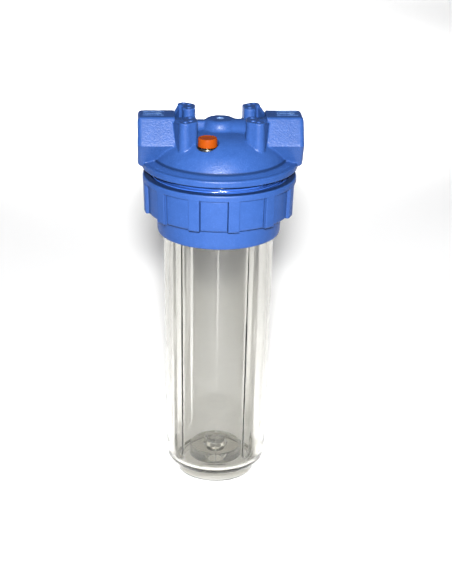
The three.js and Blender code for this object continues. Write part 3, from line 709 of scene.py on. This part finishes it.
def build_nut():
    # across the edge of a panel, from the rib to the floor: arc length in mm and share of the depth
    edge = [(-1.3, 0.0), (-0.55, 0.0), (-0.36, 0.015), (-0.2, 0.06), (-0.08, 0.14), (0.0, 0.26), (0.16, 0.84), (0.22, 1.05), (0.34, 1.09), (0.46, 1.06), (0.6, 1.0), (1.6, 1.0)]
    angles, share = [], []
    half = math.radians(PANEL_DEG / 2)
    for k in range(12):
        mid = math.radians(PANEL_PHASE + 30 * k)
        for u, d in edge:
            angles.append(mid - half + u / 62.5); share.append(d)
        for q in (-0.66, -0.33, 0.0, 0.33, 0.66):
            angles.append(mid + q * half); share.append(1.0)
        for u, d in reversed(edge):
            angles.append(mid + half - u / 62.5); share.append(d)
        angles.append(mid + math.radians(15)); share.append(0.0)
    depth_of = dict(zip(angles, share))
    inner = rounded([(57.2, NUT_TOP, 0.8), (56.9, 268.8, 0.4), (56.9, 252.2, 0.6), (53.7, 250.2, 0.6), (53.7, 243.0, 0.5), (47.2, 243.0, 0.5), (47.2, 222.0, 0.6),
                     (48.3, 220.9, 0.5), (50.5, 220.9, 1.1), (50.95, 223.4, 0.8), (51.6, 238.6, 0.3), (51.75, NUT_LOW, 0.2)], closed=False, seg=4)
    sides = [(NUT_LOW + 0.03, 0.97), (239.35, 0.45), (239.6, 0.18), (240.0, 0.0), (241.6, 0.0), (246.0, 0.0), (251.0, 0.0), (256.0, 0.0), (260.0, 0.0), (263.0, 0.0), (264.3, 0.0),
             (264.7, 0.0), (264.95, 0.0), (265.08, 0.0), (265.16, 0.0), (265.24, 0.0), (265.34, 0.0), (265.5, 0.0), (265.9, 0.0), (267.2, 0.0), (268.6, 0.0),
             (269.3, 0.05), (269.75, 0.22), (270.08, 0.55), (NUT_TOP, 1.1)]
    tz = {264.7: 1.06, 264.95: 1.09, 265.08: 1.05, 265.16: 0.62, 265.24: 0.14, 265.34: 0.05, 265.5: 0.01}

    def ring_of(t):
        D = PANEL_DEPTH * depth_of[t]
        row = list(inner)
        for f in (0.25, 0.55, 0.85, 0.97):
            row.append((51.75 + (61.4 - D - 51.75) * f, NUT_LOW))
        for z, back in sides:
            base = 62.1 + 0.8 * min(1, (z - 240.0) / 25.0) + (0.1 if z > 265 else 0)
            T = tz.get(z, 1.0 if z < 264.7 else 0.0)
            row.append((base - D * T - back, z))
        row.append((58.3, NUT_TOP))
        return row
    body = tensor_lathe("nut_body", angles, ring_of)
    crease(body, 42)
    nut = join("ring_nut_shell", [body, ridge("female", 57.4, 54.1, [(0.0, 1.8)] + THREAD[1:], 254.0, 2.0, math.radians(120))])
    # painted shade as a mesh attribute: the floor of each panel beside its walls, the panel tops and the nut's top face
    # under the head's lip are darkened where shade falls
    co = np.empty(3 * len(nut.data.vertices), np.float32)
    nut.data.vertices.foreach_get("co", co)
    x, y, z = (co.reshape(-1, 3) / MM).T
    r, t = np.hypot(x, y), np.degrees(np.arctan2(y, x))
    off = np.abs((t - PANEL_PHASE + 15) % 30 - 15) * math.pi / 180 * 62.5 - half * 62.5
    side = np.interp(-off, [-0.36, -0.2, -0.08, 0.0, 0.16, 0.22, 0.34, 0.46, 0.61], [0, 0.15, 0.45, 0.25, 0.15, 0.8, 0.85, 0.6, 0]) * ((z > NUT_LOW + 0.02) & (z < 265.4))
    top = np.interp(z, [264.3, 264.7, 264.95, 265.16, 265.24, 265.5], [0, 0.55, 0.9, 0.8, 0.5, 0]) * (off < 0.1)
    nut_top_shade = np.interp(z, [269.6, 269.9, 270.3], [0, 0.35, 0.8]) * (r < 62.2)
    lay = nut.data.attributes.new("painted_crevice_shade", "FLOAT", "POINT")
    lay.data.foreach_set("value", (np.maximum(np.maximum(side, top), nut_top_shade) * (r > 56.0)).astype(np.float32))
    return nut


finish_piece(build_nut(), M_BLUE_NUT, "ring_nut", "blue_pp", "ring_nut")


# ------------------------------------------------------------------ bowl
RIB_AT = [math.radians(v) for v in (38.0, 128.0, 218.0, 308.0)]
RIB_LOW = 27.0
SEAM_AT = [math.radians(v) for v in (-92.7, 87.3)]


def turn_gap(t, c):
    return (t - c + math.pi) % (2 * math.pi) - math.pi


def build_bowl():
    n = 288
    angles = [2 * math.pi * i / n for i in range(n)]
    for c in SEAM_AT:
        angles = [t for t in angles if abs(turn_gap(t, c)) > 0.016]
        angles += [(c + q / 45.5) % (2 * math.pi) for q in (-0.62, -0.42, -0.28, -0.14, 0.0, 0.14, 0.28, 0.42, 0.62)]
    angles.sort()
    out = rounded([(0, 23.6, 0), (5.0, 23.6, 0.8), (6.9, 7.6, 0.6), (29.2, 7.6, 1.4), (30.0, 0.0, 0.6), (33.5, 0.0, 0.8), (34.35, 8.2, 0.5), (36.6, 9.3, 1.0), (39.9, 11.1, 3.5),
                   (42.0, 14.4, 4.0), (43.0, 22.0, 6.0), (45.1, 154.0, 30.0), (45.7, 200.0, 20.0), (45.9, 245.0, 0.4), (52.6, 245.0, 0.4), (52.6, 249.6, 0.5), (48.2, 249.6, 0.3),
                   (48.2, 254.8, 0.15), (45.4, 254.8, 0.15), (45.4, 258.4, 0.15), (48.2, 258.4, 0.15), (48.2, 263.5, 0.9), (42.2, 263.5, 0.5)], closed=False, seg=5)
    ins = rounded([(42.2, 263.5, 0), (41.4, 154.0, 30), (39.6, 30.0, 8), (39.0, 17.5, 4.0), (36.6, 13.9, 3.0), (31.6, 12.4, 2.5), (22.5, 12.4, 0.9), (22.0, 21.5, 0.7), (10.3, 21.5, 0.5),
                   (9.5, 28.5, 1.3), (0, 28.7, 0)], closed=False, seg=5)[1:]

    def dense(pts, step):
        res = [pts[0]]
        for p in pts[1:]:
            q = res[-1]
            L = math.hypot(p[0] - q[0], p[1] - q[1])
            k = max(1, int(L / step))
            res += [(q[0] + (p[0] - q[0]) * i / k, q[1] + (p[1] - q[1]) * i / k) for i in range(1, k + 1)]
        return res
    out, ins = dense(out, 9.0), dense(ins, 6.0)
    low = [i for i, (r, z) in enumerate(ins) if r > 38.5 and 17.5 < z < 34.0]
    if low:
        top_p, low_p = ins[low[0] - 1], ins[low[-1] + 1]
        k = int((top_p[1] - low_p[1]) / 1.0)
        rs = [q[0] for q in ins[low[0] - 1:low[-1] + 2]][::-1]; zs = [q[1] for q in ins[low[0] - 1:low[-1] + 2]][::-1]
        mid = [(float(np.interp(low_p[1] + (top_p[1] - low_p[1]) * (1 - i / k), zs, rs)), low_p[1] + (top_p[1] - low_p[1]) * (1 - i / k)) for i in range(1, k)]
        ins = ins[:low[0]] + mid + ins[low[-1] + 1:]
    n_out = len(out)

    def ring_of(t):
        seam = 0.0
        for c in SEAM_AT:
            u = abs(turn_gap(t, c)) * 45.5
            seam = max(seam, max(0.0, 1 - (u / 0.42) ** 2))
        u = min(abs(turn_gap(t, c)) * 40.0 for c in RIB_AT)
        row = []
        for i, (r, z) in enumerate(out):
            on = 1.0 if 8.5 < z < 244.5 and r > 34.0 else 0.0
            if z < 7.5 and r > 33.0:
                on = 0.8
            row.append((r + 0.13 * seam * on, z))
        for r, z in ins:
            w = 0.0
            if r > 30:
                e = max(0.0, min(1.0, (5.4 - math.hypot(u, max(0.0, RIB_LOW - z))) / 2.4))
                w = e * e * (3 - 2 * e) * max(0.0, min(1.0, (250.0 - z) / 12.0))
            row.append((r - 1.2 * w, z))
        return row

    rows = [ring_of(t) for t in angles]
    m, n = len(rows[0]), len(angles)
    verts, idx = [], []
    for k in range(m):
        if rows[0][k][0] < 1e-6:
            idx.append([len(verts)] * n); verts.append((0, 0, rows[0][k][1] * MM))
        else:
            idx.append(list(range(len(verts), len(verts) + n)))
            for t, row in zip(angles, rows):
                r, z = row[k]
                verts.append((r * math.cos(t) * MM, r * math.sin(t) * MM, z * MM))
    faces = []
    for k in range(m - 1):
        p, q = idx[k], idx[k + 1]
        for i in range(n):
            j = (i + 1) % n
            g = []
            for v in (p[i], p[j], q[j], q[i]):
                if v not in g:
                    g.append(v)
            if len(g) > 2:
                faces.append(g)
    return crease(outward(make_object("bowl_shell", verts, faces)), 55)


finish_piece(build_bowl(), M_CLEAR, "bowl", "clear_san", "bowl")


def o_ring(name, r, a, b, z, centre=(0.0, 0.0), around=192, across=20):
    prof = [(r + a * math.cos(2 * math.pi * i / across), z + b * math.sin(2 * math.pi * i / across)) for i in range(across)]
    return lathe(name, prof, around, centre, crease_deg=0)


finish_piece(o_ring("neck_o_ring", 47.0, 1.5, 1.4, 256.6), M_RUBBER, "bowl", "rubber", "bowl_seal")
finish_piece(lathe("slip_washer", rounded([(47.6, 243.3, 0.25), (53.2, 243.3, 0.25), (53.2, 244.7, 0.25), (47.6, 244.7, 0.25)], seg=3), 192), M_ACETAL, "bowl", "slip_acetal", "slip_ring")


# ------------------------------------------------------------------ port inserts
def build_insert(name, side):
    """A brass ring with a pipe thread inside, made along Z and laid along X."""
    L, per = INSERT_LEN, 96
    xs = [L * i / 110 for i in range(111)]
    verts, faces = [], []
    outer = rounded([(12.2, L, 0), (INSERT_R, L, 0.5), (INSERT_R, 11.2, 0.2), (INSERT_R - 1.0, 10.6, 0.2), (INSERT_R - 1.0, 8.0, 0.2), (INSERT_R, 7.4, 0.2), (INSERT_R, 0.0, 0.4), (12.1, 0.0, 0)],
                    closed=False, seg=4)[1:-1]
    rows = []
    for i in range(per):
        t = 2 * math.pi * i / per
        row = []
        for x in xs:
            ph = (x / 1.81 - t / (2 * math.pi)) % 1.0
            v = 1 - abs(2 * ph - 1)
            v = min(1.0, max(0.0, (v - 0.12) / 0.76))
            mouth = max(0.0, (x - (L - 1.5)) * 0.95)
            taper = 0.02 * (x - L)
            row.append((12.85 + taper - 0.9 * v * (1 if mouth <= 0 else max(0, 1 - mouth)) + mouth * 0.9, x))
        knurl = 0.16 * (1 if i % 4 < 2 else 0)
        row += [(r - (knurl if r > INSERT_R - 0.6 and z < L - 0.6 else 0), z) for r, z in outer]
        rows.append(row)
    m = len(rows[0])
    for i, row in enumerate(rows):
        t = 2 * math.pi * i / per
        for r, x in row:
            verts.append((side * (PORT_END - L - 0.5 + x) * MM, r * math.cos(t) * MM, (PORT_Z + r * math.sin(t)) * MM))
    for i in range(per):
        j = (i + 1) % per
        for k in range(m):
            q = (k + 1) % m
            faces.append([i * m + k, j * m + k, j * m + q, i * m + q])
    return crease(outward(make_object(name, verts, faces)), 40)


finish_piece(build_insert("inlet_thread_ring", -1), M_BRASS, "head", "brass", "inlet_insert")
finish_piece(build_insert("outlet_thread_ring", 1), M_BRASS, "head", "brass", "outlet_insert")

# ------------------------------------------------------------------ vent
VC = (VENT_X, VENT_Y)
grommet = rounded([(8.2, 296.4, 0.1), (8.75, 296.4, 0.1), (8.75, 300.2, 0.25), (8.2, 300.2, 0.25)], seg=4)
finish_piece(lathe("vent_well_lining", grommet, 96, VC, crease_deg=50), M_RUBBER, "head", "rubber", "vent_grommet")
finish_piece(lathe("vent_spring_washer", rounded([(2.6, 296.4, 0.15), (7.5, 296.4, 0.15), (7.5, 297.2, 0.2), (2.6, 297.2, 0.2)], seg=3), 72, VC), M_STEEL, "head", "steel", "vent_washer")
cap = rounded([(0, 307.4, 0), (2.2, 307.4, 0.2), (2.2, 303.4, 0.2), (3.6, 303.2, 0.3), (3.6, 307.0, 0.4), (6.4, 307.0, 0.6), (6.65, 301.9, 0.2), (7.85, 301.9, 0.35), (7.62, 308.9, 1.25),
               (6.0, 308.9, 0.3), (5.6, 308.62, 0.3), (0, 308.62, 0)], closed=False, seg=6)
finish_piece(lathe("vent_push_button", cap, 96, VC, closed=False), M_ORANGE, "vent_plunger", "orange_plastic", "vent_button")
stem = rounded([(0, 287.6, 0), (4.7, 287.6, 0.4), (5.2, 288.3, 0.3), (5.2, 289.2, 0.2), (3.0, 289.2, 0.2), (3.0, 290.4, 0.3), (2.0, 291.4, 0.4), (1.95, 307.1, 0.2), (0, 307.1, 0)], closed=False, seg=4)
finish_piece(lathe("vent_brass_stem", stem, 64, VC, closed=False), M_BRASS, "vent_plunger", "brass", "vent_stem")
finish_piece(o_ring("vent_poppet_o_ring", 4.1, 0.7, 0.64, 290.05, VC, 64, 14), M_RUBBER, "vent_plunger", "rubber", "vent_poppet_seal")


def build_spring():
    """A wire coil with flat end turns."""
    def path(t):
        a = 2 * math.pi * 6.0 * t
        e = min(1.0, max(0.0, (t - 0.1) / 0.8))
        e = e + 0.35 * math.sin(2 * math.pi * e) / (2 * math.pi) * -0.6
        return Vector((VENT_X + 4.9 * math.cos(a), VENT_Y + 4.9 * math.sin(a), 297.75 + 8.5 * e))
    steps, across = 360, 10
    verts, faces = [], []
    for i in range(steps + 1):
        t = i / steps
        p = path(t)
        d = (path(min(1, t + 1e-3)) - path(max(0, t - 1e-3))).normalized()
        u = Vector((p.x - VENT_X, p.y - VENT_Y, 0)).normalized()
        w = d.cross(u).normalized()
        u = w.cross(d).normalized()
        for k in range(across):
            g = 2 * math.pi * k / across
            verts.append((p + (u * math.cos(g) + w * math.sin(g)) * 0.38) * MM)
    for i in range(steps):
        for k in range(across):
            q = (k + 1) % across
            faces.append([i * across + k, i * across + q, (i + 1) * across + q, (i + 1) * across + k])
    faces.append(list(range(across))[::-1]); faces.append([steps * across + k for k in range(across)])
    return crease(outward(make_object("vent_coil", verts, faces)), 60)


spring = finish_piece(build_spring(), M_STEEL, "head", "steel", "vent_spring")
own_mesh(spring)

# ------------------------------------------------------------------ stage, light, camera
def stage():
    n = 24
    s = 14.0
    verts = [(-s + 2 * s * i / n, -s + 2 * s * j / n, 0.0) for j in range(n + 1) for i in range(n + 1)]
    faces = [[j * (n + 1) + i, j * (n + 1) + i + 1, (j + 1) * (n + 1) + i + 1, (j + 1) * (n + 1) + i] for j in range(n) for i in range(n)]
    ob = make_object("studio_floor", verts, faces)
    m, nt, bs, out = mat_new("pale_floor")
    bs.inputs["Base Color"].default_value = (0.93, 0.93, 0.93, 1)
    bs.inputs["Roughness"].default_value = 0.85
    bs.inputs["Specular IOR Level"].default_value = 0.1
    bs.inputs["Emission Color"].default_value = (1, 1, 1, 1)
    bs.inputs["Emission Strength"].default_value = 0.09
    ob.data.materials.append(m)


stage()
K = 1.05
az = math.radians(-3.0); D = 1085.1868 * K / 1000; hh = 598.5379 * K / 1000; pitch = 0.3869; roll = 0.0174; yaw = -0.0062
C = Vector((D * math.sin(az), -D * math.cos(az), hh)); a = az + yaw
fw = Vector((-math.sin(a) * math.cos(pitch), math.cos(a) * math.cos(pitch), -math.sin(pitch)))
rt = Vector((math.cos(a), math.sin(a), 0)); up = rt.cross(fw)
c, s = math.cos(roll), math.sin(roll); rt2 = c * rt + s * up; up2 = -s * rt + c * up
cam_data = bpy.data.cameras.new("camera")
cam = bpy.data.objects.new("camera", cam_data)
bpy.context.scene.collection.objects.link(cam)
cam.matrix_world = Matrix(((rt2.x, up2.x, -fw.x, C.x), (rt2.y, up2.y, -fw.y, C.y), (rt2.z, up2.z, -fw.z, C.z), (0, 0, 0, 1)))
cam_data.sensor_width = 36
cam_data.lens = 1450 / 584 * 36
cam_data.clip_end = 100
bpy.context.scene.camera = cam


def area(name, loc, target, size, watts, colour=(1, 1, 1)):
    d = bpy.data.lights.new(name, "AREA")
    d.shape = "DISK"; d.size = size; d.energy = watts; d.color = colour
    o = bpy.data.objects.new(name, d)
    bpy.context.scene.collection.objects.link(o)
    o.location = loc
    o.rotation_euler = (Vector(target) - Vector(loc)).to_track_quat("-Z", "Y").to_euler()
    return o


area("key", C + Vector((0.0, -0.05, 0.11)), (0, 0, 0.225), 0.11, 7.6).data.spread = math.radians(60)
area("floor_left", (-0.42, 0.50, 0.55), (-0.42, 0.50, 0), 0.25, 0.11).data.spread = math.radians(60)
area("floor_right", (0.42, 0.50, 0.55), (0.42, 0.50, 0), 0.25, 0.11).data.spread = math.radians(60)
area("fill_left", (-1.7, -0.7, 0.6), (0, 0, 0.2), 1.0, 0.5)
area("fill_right", (1.7, -0.7, 0.6), (0, 0, 0.2), 1.0, 0.5)
area("floor_far", (0, 3.8, 2.4), (0, 3.8, 0), 2.4, 60.0).data.spread = math.radians(95)
area("floor_near", (0, 1.4, 0.9), (0, 1.4, 0), 0.8, 6.6).data.spread = math.radians(80)
# two narrow lamps behind, level with the head, that fill the rear and stay off the floor round the object
for side in (-1, 1):
    lamp = area("back_left" if side < 0 else "back_right", (0.95 * side, 0.95, 0.28), (0, 0, 0.33), 0.25, 0.7)
    lamp.data.spread = math.radians(24)
    lamp.visible_camera = lamp.visible_glossy = lamp.visible_transmission = False

world = bpy.data.worlds.new("studio")
bpy.context.scene.world = world
world.use_nodes = True
wn = world.node_tree
bg = wn.nodes["Background"]
tcw = wn.nodes.new("ShaderNodeTexCoord")
sep = wn.nodes.new("ShaderNodeSeparateXYZ")
wn.links.new(tcw.outputs["Generated"], sep.inputs[0])
rmp = wn.nodes.new("ShaderNodeValToRGB")
rmp.color_ramp.elements[0].position = 0.0; rmp.color_ramp.elements[0].color = (0.13, 0.13, 0.132, 1)
rmp.color_ramp.elements[1].position = 0.9; rmp.color_ramp.elements[1].color = (0.035, 0.035, 0.037, 1)
wn.links.new(sep.outputs["Z"], rmp.inputs[0])
wn.links.new(rmp.outputs[0], bg.inputs["Color"])
bg.inputs["Strength"].default_value = 1.0
bpy.context.scene.view_settings.view_transform = "Standard"
bpy.context.scene.view_settings.look = "None"

bpy.context.view_layer.update()
